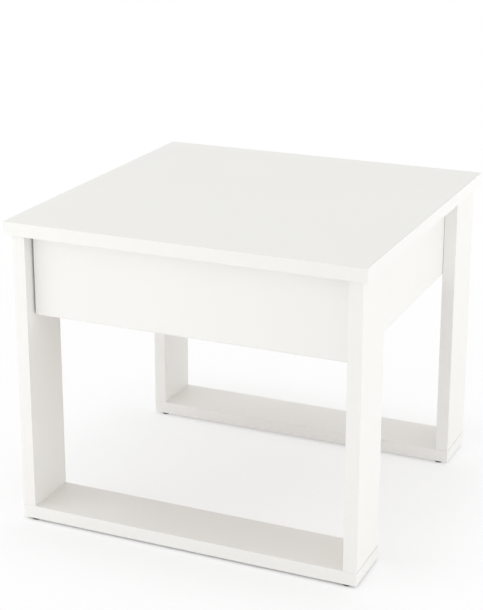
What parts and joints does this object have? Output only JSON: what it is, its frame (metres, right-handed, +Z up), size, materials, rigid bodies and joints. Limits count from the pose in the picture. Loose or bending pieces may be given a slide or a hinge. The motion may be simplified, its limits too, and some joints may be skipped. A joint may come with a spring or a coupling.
{
  "type": "coffee table",
  "caption": "Square coffee table of white laminated board on flat U-shaped frames, with an inset drawer without a handle that slides on roller runners.",
  "frame": {"origin": "on the floor, under the middle of the top", "axes": "+Z up, +Y to the back, +X to the right; the drawer front faces -Y"},
  "size_m": [0.6, 0.6, 0.512],
  "materials": {
    "white_board": "matt white laminate on chipboard",
    "white_band": "satin white edge band",
    "hardboard": "thin hardboard, white above and brown below",
    "dowel_wood": "bare beech",
    "white_steel": "white epoxy powder coat",
    "zinc_steel": "bright zinc plate",
    "cam_zinc": "bare zinc casting",
    "white_nylon": "moulded nylon",
    "black_pad": "matt black rubber"
  },
  "bodies": {
    "table": {"apron_dowels": "dowel_wood", "back_apron": "white_board", "back_apron_bands": "white_band", "back_foot_rail": "white_board", "back_foot_rail_bands": "white_band", "back_left_leg": "white_board", "back_left_leg_bands": "white_band", "back_right_leg": "white_board", "back_right_leg_bands": "white_band", "cam_bolts": "zinc_steel", "cam_locks": "cam_zinc", "channel_screws": "zinc_steel", "floor_pads": "black_pad", "frame_screws": "zinc_steel", "front_axles": "zinc_steel", "front_foot_rail": "white_board", "front_foot_rail_bands": "white_band", "front_left_leg": "white_board", "front_left_leg_bands": "white_band", "front_right_leg": "white_board", "front_right_leg_bands": "white_band", "left_channel": "white_steel", "left_side_panel": "white_board", "left_side_panel_bands": "white_band", "right_channel": "white_steel", "right_side_panel": "white_board", "right_side_panel_bands": "white_band", "side_panel_screws": "zinc_steel", "top_dowels": "dowel_wood", "top_panel": "white_board", "top_panel_bands": "white_band"},
    "drawer": {"drawer_front": "white_board", "drawer_front_bands": "white_band", "drawer_left_side": "white_board", "drawer_right_side": "white_board", "drawer_back": "white_board", "drawer_box_bands": "white_band", "drawer_bottom": "hardboard", "left_drawer_angle": "white_steel", "right_drawer_angle": "white_steel", "rear_axles": "zinc_steel", "angle_screws": "zinc_steel", "drawer_cam_locks": "cam_zinc", "drawer_cam_bolts": "zinc_steel", "drawer_back_screws": "zinc_steel"},
    "left_front_wheel": {"left_front_wheel": "white_nylon"},
    "right_front_wheel": {"right_front_wheel": "white_nylon"},
    "left_rear_wheel": {"left_rear_wheel": "white_nylon"},
    "right_rear_wheel": {"right_rear_wheel": "white_nylon"}
  },
  "joints": [
    {"name": "drawer_slide", "type": "slide", "parent": "table", "child": "drawer", "axis": [0, -1, 0], "range_m": [0, 0.33]},
    {"name": "left_front_wheel_spin", "type": "hinge", "parent": "table", "child": "left_front_wheel", "pos_m": [-0.2468, -0.234, 0.381], "axis": [1, 0, 0], "continuous": true},
    {"name": "right_front_wheel_spin", "type": "hinge", "parent": "table", "child": "right_front_wheel", "pos_m": [0.2468, -0.234, 0.381], "axis": [1, 0, 0], "continuous": true},
    {"name": "left_rear_wheel_spin", "type": "hinge", "parent": "drawer", "child": "left_rear_wheel", "pos_m": [-0.2447, 0.184, 0.3825], "axis": [1, 0, 0], "continuous": true},
    {"name": "right_rear_wheel_spin", "type": "hinge", "parent": "drawer", "child": "right_rear_wheel", "pos_m": [0.2447, 0.184, 0.3825], "axis": [1, 0, 0], "continuous": true}
  ],
  "couplings": [
    {"joint": "left_front_wheel_spin", "follows": "drawer_slide", "rad_per_m": 117.65},
    {"joint": "right_front_wheel_spin", "follows": "drawer_slide", "rad_per_m": 117.65},
    {"joint": "left_rear_wheel_spin", "follows": "drawer_slide", "rad_per_m": 108.7},
    {"joint": "right_rear_wheel_spin", "follows": "drawer_slide", "rad_per_m": 108.7}
  ]
}
